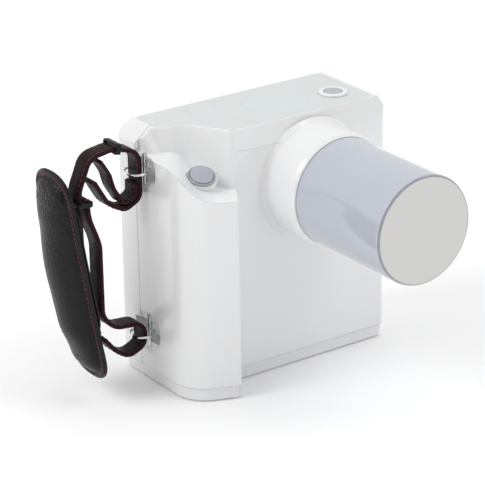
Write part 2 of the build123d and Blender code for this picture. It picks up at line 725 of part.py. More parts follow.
def make_electronics():
    """Transformer, boards, batteries, socket, buzzer and the chassis that carries them."""
    with BuildPart() as core:
        add(block(-24, 22, -20, 8, 48, 84))
        add(block(-16, -6, -21, 9, 55, 77), mode=Mode.SUBTRACT)
        add(block(4, 14, -21, 9, 55, 77), mode=Mode.SUBTRACT)
    save(core.part, "transformer_core")
    with BuildPart() as winding:
        add(block(-15.6, 13.6, -24.0, 11.6, 55.4, 76.6))
        add(block(-6.4, 4.4, -20.2, 8.2, 50, 80), mode=Mode.SUBTRACT)
        fillet(winding.edges().filter_by(Axis.Z).group_by(SortBy.DISTANCE)[-1], radius=2.0)
    save(winding.part, "transformer_winding")
    with BuildPart() as board:
        add(block(-70, 40, 15.5, 17.1, 40, 82))
        add(block(-62, -48, 17.1, 19.5, 52, 66))
        add(block(-30, -18, 17.1, 19.0, 60, 72))
        add(block(10, 26, 17.1, 21.5, 46, 58))
        add(block(20, 34, 17.1, 20.0, 64, 76))
    save(board.part, "main_board")
    with BuildPart() as hv_board:
        add(block(-52, -50.4, -20, 12, 90, 140))
        for z in (96, 108, 120, 132):
            add(block(-50.4, -44, -14, 6, z, z + 5))
    save(hv_board.part, "voltage_multiplier_board")
    with BuildPart() as cells:
        for y in (-12, 9):
            with BuildSketch(Plane.YZ.offset(-44)):
                with Locations((y, 26.5)):
                    Circle(9.1)
            extrude(amount=65)
            with BuildSketch(Plane.YZ.offset(21)):
                with Locations((y, 26.5)):
                    Circle(3)
            extrude(amount=1.5)
    save(cells.part, "battery_cells")
    with BuildPart() as tray:
        add(block(-48, 26, -23.5, 20.5, 13, 30))
        for y in (-12, 9):
            with BuildSketch(Plane.YZ.offset(-45)):
                with Locations((y, 26.5)):
                    Circle(9.5)
            extrude(amount=68.4, mode=Mode.SUBTRACT)
    save(tray.part, "battery_tray")
    with BuildPart() as chassis:
        add(block(-72, 40, 12.2, 14.2, 37, 84))
        add(block(-72, 40, -24, 14.2, 84.4, 86.4))
        add(block(-72, 40, 12.2, 14.2, 84, 86.4))
    save(chassis.part, "chassis_bracket")
    with BuildPart() as buzzer:
        add(cylinder_z(40, 2, 6, 64, 71))
        add(cylinder_z(40, 2, 1.2, 69, 72), mode=Mode.SUBTRACT)
    save(buzzer.part, "buzzer")
    with BuildPart() as socket:
        with BuildSketch(Plane.YZ.offset(CASE_RIGHT - 0.6)):
            with Locations((SOCKET_Y, SOCKET_Z)):
                Circle(5.0)
        extrude(amount=-13)
        with BuildSketch(Plane.YZ.offset(CASE_RIGHT)):
            with Locations((SOCKET_Y, SOCKET_Z)):
                Circle(SOCKET_BORE)
                Circle(1.0, mode=Mode.SUBTRACT)
        extrude(amount=-10.6, mode=Mode.SUBTRACT)
    save(socket.part, "charge_socket")


# ---------------------------------------------------------------- hand strap
def ribbon(points, radii, thickness, width):
    """A leather strip: its edge line is bent through the points and it is width wide along Y."""
    with BuildPart() as strip:
        with BuildSketch(side_plane(STRAP_Y)):
            with BuildLine():
                FilletPolyline(*points, radius=radii)
            trace(line_width=thickness)
        extrude(amount=width / 2, both=True)
    return strip.part


def make_strap_hardware():
    """Pins in the case pockets, wire rings on them and the two loop keepers."""
    for name, z in (("upper", UPPER_RING_Z), ("lower", LOWER_RING_Z)):
        reach = POCKET_HALF_HEIGHT + 3.4
        save(cylinder_z(PIN_X, STRAP_Y, PIN_RADIUS, z - reach, z + reach), f"strap_pin_{name}")
        with BuildPart() as ring:
            with Locations((RING_X, STRAP_Y, z)):
                Torus(RING_INNER + RING_WIRE / 2, RING_WIRE / 2)
        save(ring.part, f"strap_ring_{name}")


def keeper(centre, angle, length, inside, wall):
    """A small leather loop around the strap; angle is the strap's direction there."""
    frame = Plane(origin=(centre[0], STRAP_Y, centre[1]), x_dir=(0, 1, 0),
                  z_dir=(cos(radians(angle)), 0, sin(radians(angle))))
    with BuildPart() as loop:
        with BuildSketch(frame):
            RectangleRounded(STRAP_WIDTH + 0.6 + 2 * wall, inside + 2 * wall, 1.2)
            RectangleRounded(STRAP_WIDTH + 0.6, inside, 0.3, mode=Mode.SUBTRACT)
        extrude(amount=length / 2, both=True)
    return loop.part


def make_strap():
    """Leather straps: the upper one carries the pad, the lower one runs inside it."""
    upper_points = [
        (-134.2, 41.5), (-143.4, 92.0), (-143.6, 133.5), (-135.8, 152.2), (-119.5, 154.6),
        (-102.5, 149.0), (-102.5, 120.6), (-113.0, 115.2), (-124.5, 121.5), (-133.4, 137.0),
    ]
    upper_radii = [60, 18, 10, 14, 9, 6.5, 7, 16]
    save(ribbon(upper_points, upper_radii, STRAP_THICK, STRAP_WIDTH), "upper_strap")

    tail_points = [
        (-105.3, 130.0), (-105.3, 122.2), (-113.4, 118.6), (-120.6, 130.6), (-123.0, 139.5),
        (-128.6, 148.6),
    ]
    save(ribbon(tail_points, [3.6, 4, 14, 14], 2.2, STRAP_WIDTH), "strap_tail")

    lower_points = [
        (-138.6, 127.5), (-137.9, 116.0), (-131.2, 98.0), (-131.2, 52.0), (-123.0, 42.5),
        (-102.5, 40.8), (-102.5, 26.6), (-114.0, 21.6), (-123.0, 27.5), (-131.0, 37.5),
    ]
    lower_radii = [30, 24, 12, 12, 8, 6.5, 8, 24]
    save(ribbon(lower_points, lower_radii, STRAP_THICK, STRAP_WIDTH), "lower_strap")

    save(keeper((-117.6, 154.3), -9.0, 3.4, 4.2, 1.2), "strap_keeper_top")
    save(keeper((-141.2, 125.0), 90.0, 3.2, 8.4, 1.2), "strap_keeper_side")


def make_pad():
    """Padded leather hand pad and its soft lining, leaning a little out at the top."""
    pad_half = 20.0
    outline = [
        (-158.0, 148.0), (-152.4, 113.0), (-143.6, 61.4), (-134.0, 13.0), (-140.5, 15.0),
        (-153.0, 42.0), (-162.0, 82.0), (-165.5, 120.0), (-165.5, 146.0), (-161.5, 151.0),
    ]
    with BuildPart() as pad:
        with BuildSketch(side_plane(STRAP_Y)):
            with BuildLine():
                FilletPolyline(*outline, radius=[3, 60, 60, 2.2, 6, 60, 60, 30, 4, 3], close=True)
            make_face()
        extrude(amount=pad_half, both=True)
        fillet(pad.faces().filter_by(Axis.Y).edges(), radius=2.0)
    save(pad.part, "hand_pad")

    lining_points = [(-154.1, 138.0), (-150.1, 113.0), (-141.3, 61.4), (-137.9, 44.0)]
    with BuildPart() as lining:
        with BuildSketch(side_plane(STRAP_Y)):
            with BuildLine():
                FilletPolyline(*lining_points, radius=60)
            trace(line_width=3.6)
        extrude(amount=pad_half - 1.5, both=True)
    save(lining.part, "pad_lining")


make_case()
make_overlay()
make_base()
make_case_screws()
make_cone()
make_exposure_button()
make_power_button()
make_rear_panel()
make_tube_head()
make_electronics()
make_strap_hardware()
make_strap()
make_pad()
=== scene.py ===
"""Looks of the handheld intraoral x-ray unit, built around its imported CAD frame."""

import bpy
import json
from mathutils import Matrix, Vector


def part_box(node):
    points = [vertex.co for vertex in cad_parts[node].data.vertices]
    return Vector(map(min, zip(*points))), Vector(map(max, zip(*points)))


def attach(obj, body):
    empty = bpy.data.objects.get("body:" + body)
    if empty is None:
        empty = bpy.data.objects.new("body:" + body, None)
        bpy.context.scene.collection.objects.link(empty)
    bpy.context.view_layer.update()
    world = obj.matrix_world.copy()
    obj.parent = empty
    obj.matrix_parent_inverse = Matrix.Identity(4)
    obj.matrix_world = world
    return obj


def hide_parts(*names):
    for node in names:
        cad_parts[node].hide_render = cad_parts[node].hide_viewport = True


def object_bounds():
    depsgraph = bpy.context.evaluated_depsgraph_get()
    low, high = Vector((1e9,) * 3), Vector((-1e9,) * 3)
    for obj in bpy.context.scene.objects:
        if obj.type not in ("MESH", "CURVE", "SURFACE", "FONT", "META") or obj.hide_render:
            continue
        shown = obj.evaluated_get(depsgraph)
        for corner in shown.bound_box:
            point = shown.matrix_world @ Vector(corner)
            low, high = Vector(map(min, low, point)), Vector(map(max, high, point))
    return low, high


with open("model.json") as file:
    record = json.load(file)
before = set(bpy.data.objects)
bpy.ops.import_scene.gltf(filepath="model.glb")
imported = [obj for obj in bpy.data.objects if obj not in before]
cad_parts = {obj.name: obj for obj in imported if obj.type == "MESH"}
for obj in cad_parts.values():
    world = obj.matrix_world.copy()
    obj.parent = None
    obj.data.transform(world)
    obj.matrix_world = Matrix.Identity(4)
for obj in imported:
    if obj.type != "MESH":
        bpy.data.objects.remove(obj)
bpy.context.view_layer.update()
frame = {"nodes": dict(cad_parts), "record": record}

import json
from math import cos, pi, radians, sin

import bmesh
import bpy
from mathutils import Matrix, Vector, noise

MM = 0.001
NODES = frame["nodes"]
SLOT_OF = {entry["node"]: entry["material_slot"] for entry in frame["record"]["subparts"]}

# ---------------------------------------------------------------- camera
CAMERA_AZIMUTH = -34.70
CAMERA_ELEVATION = 22.45
CAMERA_ROLL = -0.92
CAMERA_LENS = 179.3
CAMERA_DISTANCE = 1.45635
CAMERA_AIM = Vector((-0.03452, -0.00611, 0.07715))


def make_camera():
    """A long lens at the unit's left front, slightly rolled, aimed at the middle of the case."""
    azimuth = radians(CAMERA_AZIMUTH)
    elevation = radians(CAMERA_ELEVATION)
    back = Vector((sin(azimuth) * cos(elevation), -cos(azimuth) * cos(elevation), sin(elevation)))
    level = Vector((cos(azimuth), sin(azimuth), 0))
    upright = back.cross(level)
    roll = radians(CAMERA_ROLL)
    right = level * cos(roll) + upright * sin(roll)
    up = upright * cos(roll) - level * sin(roll)
    data = bpy.data.cameras.new("camera")
    data.lens = CAMERA_LENS
    data.sensor_width = 36
    data.clip_start = 0.05
    data.clip_end = 50
    camera = bpy.data.objects.new("camera", data)
    bpy.context.scene.collection.objects.link(camera)
    turn = Matrix((right, up, back)).transposed().to_4x4()
    camera.matrix_world = Matrix.Translation(CAMERA_AIM + back * CAMERA_DISTANCE) @ turn
    bpy.context.scene.camera = camera


make_camera()


# ---------------------------------------------------------------- material helpers
class Shader:
    """A Principled material with a few short helpers for wiring procedural detail."""

    def __init__(self, name, color, roughness, metallic=0.0, coat=0.0, ior=1.5):
        self.material = bpy.data.materials.new(name)
        self.material.use_nodes = True
        self.tree = self.material.node_tree
        self.tree.nodes.clear()
        self.output = self.tree.nodes.new("ShaderNodeOutputMaterial")
        self.bsdf = self.tree.nodes.new("ShaderNodeBsdfPrincipled")
        self.tree.links.new(self.bsdf.outputs[0], self.output.inputs[0])
        self.bsdf.inputs["Base Color"].default_value = (*color, 1)
        self.bsdf.inputs["Roughness"].default_value = roughness
        self.bsdf.inputs["Metallic"].default_value = metallic
        self.bsdf.inputs["Coat Weight"].default_value = coat
        self.bsdf.inputs["Coat Roughness"].default_value = 0.06
        self.bsdf.inputs["IOR"].default_value = ior
        self.material.diffuse_color = (*color, 1)
        self.place = self.node("ShaderNodeTexCoord").outputs["Object"]
        self.normal = None

    def node(self, kind, **settings):
        made = self.tree.nodes.new(kind)
        for key, value in settings.items():
            setattr(made, key, value)
        return made

    def link(self, source, target):
        self.tree.links.new(source, target)

    def noise(self, scale, detail=3.0, distortion=0.0, place=None):
        made = self.node("ShaderNodeTexNoise")
        made.inputs["Scale"].default_value = scale
        made.inputs["Detail"].default_value = detail
        made.inputs["Distortion"].default_value = distortion
        self.link(place or self.place, made.inputs["Vector"])
        return made.outputs["Fac"]

    def cells(self, scale, feature="F1", place=None):
        made = self.node("ShaderNodeTexVoronoi", feature=feature)
        made.inputs["Scale"].default_value = scale
        self.link(place or self.place, made.inputs["Vector"])
        return made.outputs["Distance"]

    def math(self, operation, a, b=None, clamp=False):
        made = self.node("ShaderNodeMath", operation=operation, use_clamp=clamp)
        for socket, value in zip(made.inputs, (a, b)):
            if value is None:
                continue
            if isinstance(value, (int, float)):
                socket.default_value = value
            else:
                self.link(value, socket)
        return made.outputs[0]

    def radial(self, a, b):
        squared = self.math("ADD", self.math("MULTIPLY", a, a), self.math("MULTIPLY", b, b))
        return self.math("SQRT", squared)

    def spread(self, source, low, high, to_low=0.0, to_high=1.0):
        made = self.node("ShaderNodeMapRange")
        limits = {"From Min": low, "From Max": high, "To Min": to_low, "To Max": to_high}
        for name, value in limits.items():
            made.inputs[name].default_value = value
        self.link(source, made.inputs["Value"])
        return made.outputs["Result"]

    def blend(self, factor, color_a, color_b):
        made = self.node("ShaderNodeMix", data_type="RGBA")
        self.link(factor, made.inputs["Factor"])
        for socket, color in ((made.inputs[6], color_a), (made.inputs[7], color_b)):
            if isinstance(color, tuple):
                socket.default_value = (*color, 1)
            else:
                self.link(color, socket)
        return made.outputs[2]

    def axes(self):
        made = self.node("ShaderNodeSeparateXYZ")
        self.link(self.place, made.inputs[0])
        return made.outputs

    def color(self, source):
        self.link(source, self.bsdf.inputs["Base Color"])

    def roughness(self, source):
        self.link(source, self.bsdf.inputs["Roughness"])

    def round_edges(self, radius):
        made = self.node("ShaderNodeBevel", samples=8)
        made.inputs["Radius"].default_value = radius
        self.normal = made.outputs[0]
        self.link(self.normal, self.bsdf.inputs["Normal"])
        self.link(self.normal, self.bsdf.inputs["Coat Normal"])

    def bump(self, height, strength, distance):
        made = self.node("ShaderNodeBump")
        made.inputs["Strength"].default_value = strength
        made.inputs["Distance"].default_value = distance
        self.link(height, made.inputs["Height"])
        if self.normal is not None:
            self.link(self.normal, made.inputs["Normal"])
        self.normal = made.outputs[0]
        self.link(self.normal, self.bsdf.inputs["Normal"])


# ---------------------------------------------------------------- materials
BELT_HEIGHT = 12.7 * MM
BELT_STEP = 0.5 * MM
BELT_START = 21.4 * MM
BELT_BACK = -23 * MM
RING_CENTRE_X = -4.7 * MM
RING_RADII = (20 * MM, 37 * MM, 54 * MM)
RING_WIDTH = 0.5 * MM
# Inset from the cap's rim where the painted seam shade starts.
CAP_SEAM_SHADE_INSET = 0.9 * MM
PEBBLES = 620
PEBBLE_WARP = 1.1 * MM
PAD_ROUGHNESS = 0.33


def white_plastic():
    """Glossy white case plastic with softened edges and hardly any grain."""
    shader = Shader("white_gloss", (0.83, 0.835, 0.84), 0.24, coat=0.35)
    shader.round_edges(1.5 * MM)
    flow = shader.noise(14, 2.0)
    shader.color(shader.blend(flow, (0.835, 0.838, 0.845), (0.86, 0.862, 0.866)))
    shader.roughness(shader.spread(shader.noise(25, 2.0), 0.2, 0.8, 0.235, 0.265))
    shader.bump(front_belt(shader), 0.8, 0.4 * MM)
    shader.bump(shader.noise(1100, 2.0), 0.03, 0.05 * MM)
    return shader.material


def front_belt(shader):
    """A shallow raised belt under the top's front edge, between the button deck and the cone's collar."""
    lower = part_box("top_overlay")[1].z - BELT_HEIGHT
    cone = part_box("cone_tube")[0].x
    start = cone - BELT_START
    x, y, z = shader.axes()
    belt = shader.spread(z, lower, lower + BELT_STEP)
    belt = shader.math("MULTIPLY", belt, shader.spread(x, start, start + BELT_STEP))
    belt = shader.math("MULTIPLY", belt, shader.spread(x, cone + 8 * MM, cone + 13 * MM, 1.0, 0.0))
    return shader.math("MULTIPLY", belt, shader.spread(y, BELT_BACK, BELT_BACK + 2 * MM, 1.0, 0.0))


def ring_line(shader, distance, radius, width):
    """A thin band, 1 on a circle of that radius and fading out within its width."""
    away = shader.math("ABSOLUTE", shader.math("SUBTRACT", distance, radius))
    return shader.spread(away, width * 0.5, width, 1.0, 0.0)


def overlay_film():
    """Printed sheet on top: pale grey-green with thin rings around the middle of the case."""
    shader = Shader("overlay_film", (0.70, 0.74, 0.74), 0.3, coat=0.2)
    x, y, _ = shader.axes()
    across = shader.math("SUBTRACT", x, RING_CENTRE_X)
    distance = shader.radial(across, y)
    first, *others = RING_RADII
    lines = ring_line(shader, distance, first, RING_WIDTH)
    for radius in others:
        lines = shader.math("MAXIMUM", lines, ring_line(shader, distance, radius, RING_WIDTH))
    lines = shader.math("MULTIPLY", lines, shader.spread(across, 0, 32 * MM, 1.0, 0.25))
    inner = shader.spread(distance, first - 0.2 * MM, first + 0.2 * MM, 1.0, 0.0)
    base = shader.blend(shader.noise(30, 2.0), (0.645, 0.680, 0.675), (0.665, 0.698, 0.692))
    tinted = shader.blend(shader.math("MULTIPLY", inner, 0.35), base, (0.65, 0.705, 0.72))
    shader.color(shader.blend(shader.math("MULTIPLY", lines, 0.75), tinted, (0.50, 0.66, 0.74)))
    shader.roughness(shader.spread(shader.noise(400, 4.0), 0.3, 0.7, 0.28, 0.34))
    shader.bump(shader.noise(900, 2.0), 0.03, 0.05 * MM)
    return shader.material


def tinted_gloss(name, dark, light, roughness, coat, edge):
    """Glossy coloured moulding with slight flow marks."""
    shader = Shader(name, light, roughness, coat=coat)
    shader.round_edges(edge * MM)
    shader.color(shader.blend(shader.noise(26, 2.0), dark, light))
    shader.roughness(shader.spread(shader.noise(300, 4.0), 0.3, 0.75, roughness * 0.9, roughness * 1.2))
    shader.bump(shader.noise(700, 2.0), 0.04, 0.08 * MM)
    return shader.material


def matte_moulding(name, dark, light, roughness):
    """Fine spark-eroded plastic or rubber."""
    shader = Shader(name, light, roughness)
    shader.round_edges(0.3 * MM)
    shader.color(shader.blend(shader.noise(60, 4.0), dark, light))
    shader.roughness(shader.spread(shader.noise(300, 4.0), 0.3, 0.7, roughness - 0.08, roughness + 0.08))
    shader.bump(shader.noise(1600, 2.0), 0.18, 0.12 * MM)
    return shader.material


def cap_plastic():
    """Satin end cap of the cone with a thin band of painted shade near its rim, standing in for the seam
    between cap and tube.
    """
    shader = Shader("cone_cap_plastic", (0.67, 0.665, 0.65), 0.4)
    shader.round_edges(0.3 * MM)
    low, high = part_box("cone_end_cap")
    x, _, z = shader.axes()
    across = shader.math("SUBTRACT", x, (low.x + high.x) / 2)
    upward = shader.math("SUBTRACT", z, (low.z + high.z) / 2)
    # Painted shade: a dark band round the cap's rim stands in for the shadowed seam against the tube.
    inside = (high.x - low.x) / 2 - CAP_SEAM_SHADE_INSET
    seam_shade = shader.spread(shader.radial(across, upward), inside, inside + 0.5 * MM)
    tone = shader.blend(shader.noise(60, 4.0), (0.655, 0.65, 0.635), (0.68, 0.675, 0.66))
    shader.color(shader.blend(seam_shade, tone, (0.30, 0.31, 0.33)))
    shader.roughness(shader.spread(shader.noise(300, 4.0), 0.3, 0.7, 0.36, 0.46))
    shader.bump(shader.noise(900, 2.0), 0.1, 0.1 * MM)
    return shader.material


def metal(name, dark, light, roughness, stretch):
    """Brushed or drawn metal: the grain is noise stretched along one axis."""
    shader = Shader(name, light, roughness, metallic=1.0)
    shader.round_edges(0.2 * MM)
    mapping = shader.node("ShaderNodeMapping")
    mapping.inputs["Scale"].default_value = stretch
    shader.link(shader.place, mapping.inputs["Vector"])
    grain = shader.noise(400, 3.0, place=mapping.outputs[0])
    shader.color(shader.blend(grain, dark, light))
    shader.roughness(shader.spread(grain, 0.3, 0.7, roughness * 0.7, roughness * 1.4))
    shader.bump(grain, 0.06, 0.05 * MM)
    return shader.material


def pad_leather():
    """Black pebbled leather: cells of two sizes, with painted shade in the grooves between them, and
    rubbed smooth lower down.
    """
    dark = (0.004, 0.004, 0.0045)
    light = (0.010, 0.010, 0.011)
    shader = Shader("leather_black", light, PAD_ROUGHNESS)
    shader.bsdf.inputs["Specular IOR Level"].default_value = 0.22
    shader.bsdf.inputs["Sheen Weight"].default_value = 0.005
    warped = shader.node("ShaderNodeVectorMath", operation="MULTIPLY_ADD")
    shader.link(shader.noise(PEBBLES * 0.5, 3.0), warped.inputs[0])
    warped.inputs[1].default_value = (PEBBLE_WARP, PEBBLE_WARP, PEBBLE_WARP)
    shader.link(shader.place, warped.inputs[2])
    coarse = shader.cells(PEBBLES, "SMOOTH_F1", warped.outputs[0])
    fine = shader.cells(PEBBLES * 2.3, place=warped.outputs[0])
    height = shader.math("SUBTRACT", shader.math("MULTIPLY", fine, -0.25), coarse)
    low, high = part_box("hand_pad")
    unworn = shader.spread(shader.axes()[2], low.z + 0.35 * (high.z - low.z), high.z, 0.16, 1.0)
    # Painted shade: the grooves between the pebbles are coloured darker, as if shaded.
    crease = shader.spread(coarse, 0.25, 0.75, 1.0, 0.0)
    tone = shader.blend(shader.noise(45, 4.0), dark, light)
    shader.color(shader.blend(crease, dark, tone))
    creased = shader.math("MULTIPLY", coarse, 0.16)
    shine = shader.math("MULTIPLY", unworn, 0.10)
    shader.roughness(shader.math("ADD", shader.math("SUBTRACT", creased, shine), PAD_ROUGHNESS))
    shader.bump(shader.math("MULTIPLY", height, unworn), 0.85, 0.6 * MM)
    shader.bump(shader.noise(120, 4.0, 0.3), 0.5, 0.3 * MM)
    return shader.material


def strap_leather():
    """Smooth dark strap leather whose cut edges are painted burgundy."""
    shader = Shader("leather_strap", (0.035, 0.016, 0.018), 0.42)
    shader.bsdf.inputs["Specular IOR Level"].default_value = 0.11
    _, y, _ = shader.axes()
    low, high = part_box("upper_strap")
    middle = (low.y + high.y) / 2
    across = shader.math("ABSOLUTE", shader.math("SUBTRACT", y, middle))
    edge = shader.spread(across, 4.6 * MM, 5.8 * MM)
    tone = shader.blend(shader.noise(110, 5.0), (0.007, 0.0045, 0.0050), (0.020, 0.009, 0.011))
    shader.color(shader.blend(edge, tone, (0.026, 0.007, 0.011)))
    shader.roughness(shader.spread(shader.noise(220, 4.0), 0.3, 0.7, 0.34, 0.56))
    shader.bump(shader.cells(1500), 0.35, 0.12 * MM)
    shader.bump(shader.noise(160, 4.0, 0.5), 0.5, 0.35 * MM)
    return shader.material


def tube_glass():
    shader = Shader("tube_glass", (0.86, 0.90, 0.92), 0.03, ior=1.47)
    shader.bsdf.inputs["Transmission Weight"].default_value = 0.85
    shader.roughness(shader.spread(shader.noise(120, 4.0), 0.3, 0.7, 0.03, 0.08))
    return shader.material


# Slot: darker and lighter colour, roughness, coat, rounding of the edges in mm.
GLOSSY = {
    "panel_grey": ((0.66, 0.70, 0.70), (0.70, 0.74, 0.74), 0.3, 0.2, 0.5),
    "silver_trim": ((0.30, 0.31, 0.33), (0.40, 0.41, 0.43), 0.18, 0.7, 0.3),
    "cone_plastic": ((0.475, 0.505, 0.575), (0.505, 0.535, 0.605), 0.13, 0.8, 0.5),
    "display_glass": ((0.012, 0.016, 0.018), (0.02, 0.026, 0.03), 0.08, 0.8, 0.5),
    "battery_sleeve": ((0.04, 0.15, 0.30), (0.05, 0.20, 0.38), 0.35, 0.2, 0.5),
    "button_lavender": ((0.36, 0.38, 0.45), (0.40, 0.42, 0.49), 0.14, 0.8, 0.5),
    "key_plastic": ((0.47, 0.49, 0.60), (0.52, 0.54, 0.65), 0.2, 0.5, 0.5),
}
# Slot: darker and lighter colour, roughness.
MATTE = {
    "black_plastic": ((0.012, 0.012, 0.013), (0.03, 0.03, 0.032), 0.5),
    "lead": ((0.12, 0.125, 0.13), (0.18, 0.185, 0.19), 0.6),
    "ferrite": ((0.05, 0.05, 0.055), (0.09, 0.09, 0.10), 0.7),
    "circuit_board": ((0.02, 0.14, 0.06), (0.03, 0.20, 0.08), 0.4),
    "rubber": ((0.015, 0.015, 0.015), (0.03, 0.03, 0.03), 0.75),
}
# Slot: darker and lighter colour, roughness, stretch of the grain along X, Y and Z.
METALS = {
    "aluminium": ((0.60, 0.61, 0.62), (0.72, 0.73, 0.74), 0.32, (1, 1, 40)),
    "steel": ((0.50, 0.51, 0.52), (0.66, 0.67, 0.68), 0.28, (1, 1, 40)),
    "copper": ((0.62, 0.28, 0.16), (0.78, 0.40, 0.25), 0.3, (1, 1, 40)),
    "brass": ((0.60, 0.44, 0.18), (0.75, 0.58, 0.28), 0.25, (1, 1, 40)),
    "ring_chrome": ((0.80, 0.80, 0.81), (0.90, 0.90, 0.91), 0.12, (40, 40, 1)),
}


def make_materials():
    """One material for each slot of the record."""
    made = {
        "white_gloss": white_plastic(),
        "overlay_film": overlay_film(),
        "cone_cap_plastic": cap_plastic(),
        "tube_glass": tube_glass(),
        "leather_black": pad_leather(),
        "leather_strap": strap_leather(),
    }
    for maker, table in ((tinted_gloss, GLOSSY), (matte_moulding, MATTE), (metal, METALS)):
        for slot, values in table.items():
            made[slot] = maker(slot, *values)
    return made


MATERIALS = make_materials()
for node_name, node_object in NODES.items():
    node_object.data.materials.clear()
    node_object.data.materials.append(MATERIALS[SLOT_OF[node_name]])


# ---------------------------------------------------------------- mesh helpers
def new_piece(name, mesh, body, slot):
    """Link a finished mesh as a piece that rides on a body and takes a slot's material."""
    piece = bpy.data.objects.new(name, mesh)
    bpy.context.scene.collection.objects.link(piece)
    mesh.materials.append(MATERIALS[slot])
    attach(piece, body)
    return piece


def mesh_from(name, vertices, faces, smooth=True):
    mesh = bpy.data.meshes.new(name)
    mesh.from_pydata([tuple(v) for v in vertices], [], faces)
    for polygon in mesh.polygons:
        polygon.use_smooth = smooth
    return mesh


# ---------------------------------------------------------------- leather straps
STRAP_STEP = 1.1 * MM
STITCH_LINE = 0.77
STITCH_LENGTH = 2.1 * MM
STRAP_THREAD = 0.24 * MM
KEEPER_VOXEL = 0.3 * MM
# Half of a strap's section from its edge to the middle: share of the half width, and mm shaved off there.
STRAP_SECTION = [(-1.0, 0.75), (-0.985, 0.38), (-0.94, 0.10), (-0.84, 0.0), (-STITCH_LINE, 0.14),
                 (-0.70, 0.02), (-0.35, -0.06), (0.0, -0.08)]


def cap_outline(node):
    """The closed side view (X, Z) of a CAD strap, read from the face at its far edge."""
    mesh = NODES[node].data
    edge_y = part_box(node)[1].y
    number_of = {}
    points = []
    sides = set()
    for polygon in mesh.polygons:
        corners = [mesh.vertices[index].co for index in polygon.vertices]
        if any(abs(corner.y - edge_y) > 0.01 * MM for corner in corners):
            continue
        ring = []
        for corner in corners:
            place = (round(corner.x, 6), round(corner.z, 6))
            if place not in number_of:
                number_of[place] = len(points)
                points.append(Vector(place))
            ring.append(number_of[place])
        sides.update(zip(ring, ring[1:] + ring[:1]))
    follow = {a: b for a, b in sides if (b, a) not in sides}
    first = min(follow)
    loop = [first]
    while follow[loop[-1]] != first:
        loop.append(follow[loop[-1]])
    return [points[index] for index in loop]


def resample(loop, step):
    """Points evenly spaced along a closed loop."""
    closed = loop + loop[:1]
    lengths = [0.0]
    for a, b in zip(closed, closed[1:]):
        lengths.append(lengths[-1] + (b - a).length)
    count = max(12, int(lengths[-1] / step))
    found = []
    index = 0
    for number in range(count):
        target = lengths[-1] * number / count
        while lengths[index + 1] < target:
            index += 1
        share = (target - lengths[index]) / (lengths[index + 1] - lengths[index])
        found.append(closed[index].lerp(closed[index + 1], share))
    return found


def outward(loop):
    """Outward normals of a closed loop in the XZ plane."""
    area = sum(a.x * b.y - b.x * a.y for a, b in zip(loop, loop[1:] + loop[:1]))
    turn = 1 if area > 0 else -1
    normals = []
    for before, after in zip(loop[-1:] + loop[:-1], loop[1:] + loop[:1]):
        along = (after - before).normalized()
        normals.append(Vector((along.y, -along.x)) * turn)
    return normals


def make_strap(node):
    """Leather strap: the CAD ribbon with rounded painted edges, a stitch groove and slight waves."""
    low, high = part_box(node)
    middle = (low.y + high.y) / 2
    half = (high.y - low.y) / 2
    loop = resample(cap_outline(node), STRAP_STEP)
    normals = outward(loop)
    profile = STRAP_SECTION + [(-place, shrink) for place, shrink in reversed(STRAP_SECTION[:-1])]
    vertices = []
    for place, shrink in profile:
        for point, normal in zip(loop, normals):
            wave = noise.noise(Vector((point.x, point.y, place * 0.004)) * 130)
            crumple = noise.noise(Vector((point.x * 1.3, point.y, place * 0.006)) * 420)
            moved = point + normal * (-shrink + 0.16 * wave * (abs(place) < 0.9) + 0.07 * crumple) * MM
            sway = 0.22 * MM * noise.noise(Vector((point.x, 0, point.y)) * 60)
            vertices.append((moved.x, middle + place * half + sway * (1 - abs(place) ** 4), moved.y))
    count = len(loop)
    faces = []
    for row in range(len(profile) - 1):
        for column in range(count):
            after = (column + 1) % count
            base = row * count
            faces.append((base + column, base + after, base + count + after, base + count + column))
    faces.append(tuple(range(count)))
    faces.append(tuple(reversed(range((len(profile) - 1) * count, len(profile) * count))))
    mesh = mesh_from(node + "_leather", vertices, faces)
    recalculate(mesh)
    piece = new_piece(node + "_leather", mesh, "hand_strap", SLOT_OF[node])
    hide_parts(node)
    thread_places = []
    for point, normal, after in zip(loop, normals, loop[1:] + loop[:1]):
        for side in (-1, 1):
            y = middle + side * STITCH_LINE * half
            start = Vector((point.x - normal.x * 0.1 * MM, y, point.y - normal.y * 0.1 * MM))
            along = Vector((after.x - point.x, 0, after.y - point.y)).normalized()
            thread_places.append((start, along, Vector((normal.x, 0, normal.y))))
    every_third = [place for number, place in enumerate(thread_places) if number // 2 % 3 == 0]
    make_stitches(node + "_stitches", every_third, STRAP_THREAD)


def recalculate(mesh):
    """Turn all faces of a closed mesh outwards."""
    work = bmesh.new()
    work.from_mesh(mesh)
    bmesh.ops.recalc_face_normals(work, faces=work.faces)
    work.to_mesh(mesh)
    work.free()


def make_stitches(name, places, radius):
    """Short thread stitches, each a bowed, tapered sausage lying along the leather."""
    vertices = []
    faces = []
    rings = [(-0.5, 0.45, -0.7), (-0.38, 0.85, 0.1), (0.0, 1.0, 0.55)]
    rings = rings + [(-step, girth, lift) for step, girth, lift in reversed(rings[:-1])]
    around = 6
    for place, along, up in places:
        side = along.cross(up)
        base = len(vertices)
        for step, girth, lift in rings:
            centre = place + along * step * STITCH_LENGTH + up * lift * radius
            for number in range(around):
                angle = 2 * pi * number / around
                vertices.append(centre + (side * cos(angle) + up * sin(angle)) * girth * radius)
        for row in range(len(rings) - 1):
            for number in range(around):
                after = (number + 1) % around
                row_base = base + row * around
                faces.append((row_base + number, row_base + after,
                              row_base + around + after, row_base + around + number))
        faces.append(tuple(range(base, base + around)))
        faces.append(tuple(reversed(range(base + around * (len(rings) - 1), base + around * len(rings)))))
    mesh = mesh_from(name, vertices, faces)
    recalculate(mesh)
    new_piece(name, mesh, "hand_strap", "leather_strap")
    mesh.materials.clear()
    mesh.materials.append(THREAD)


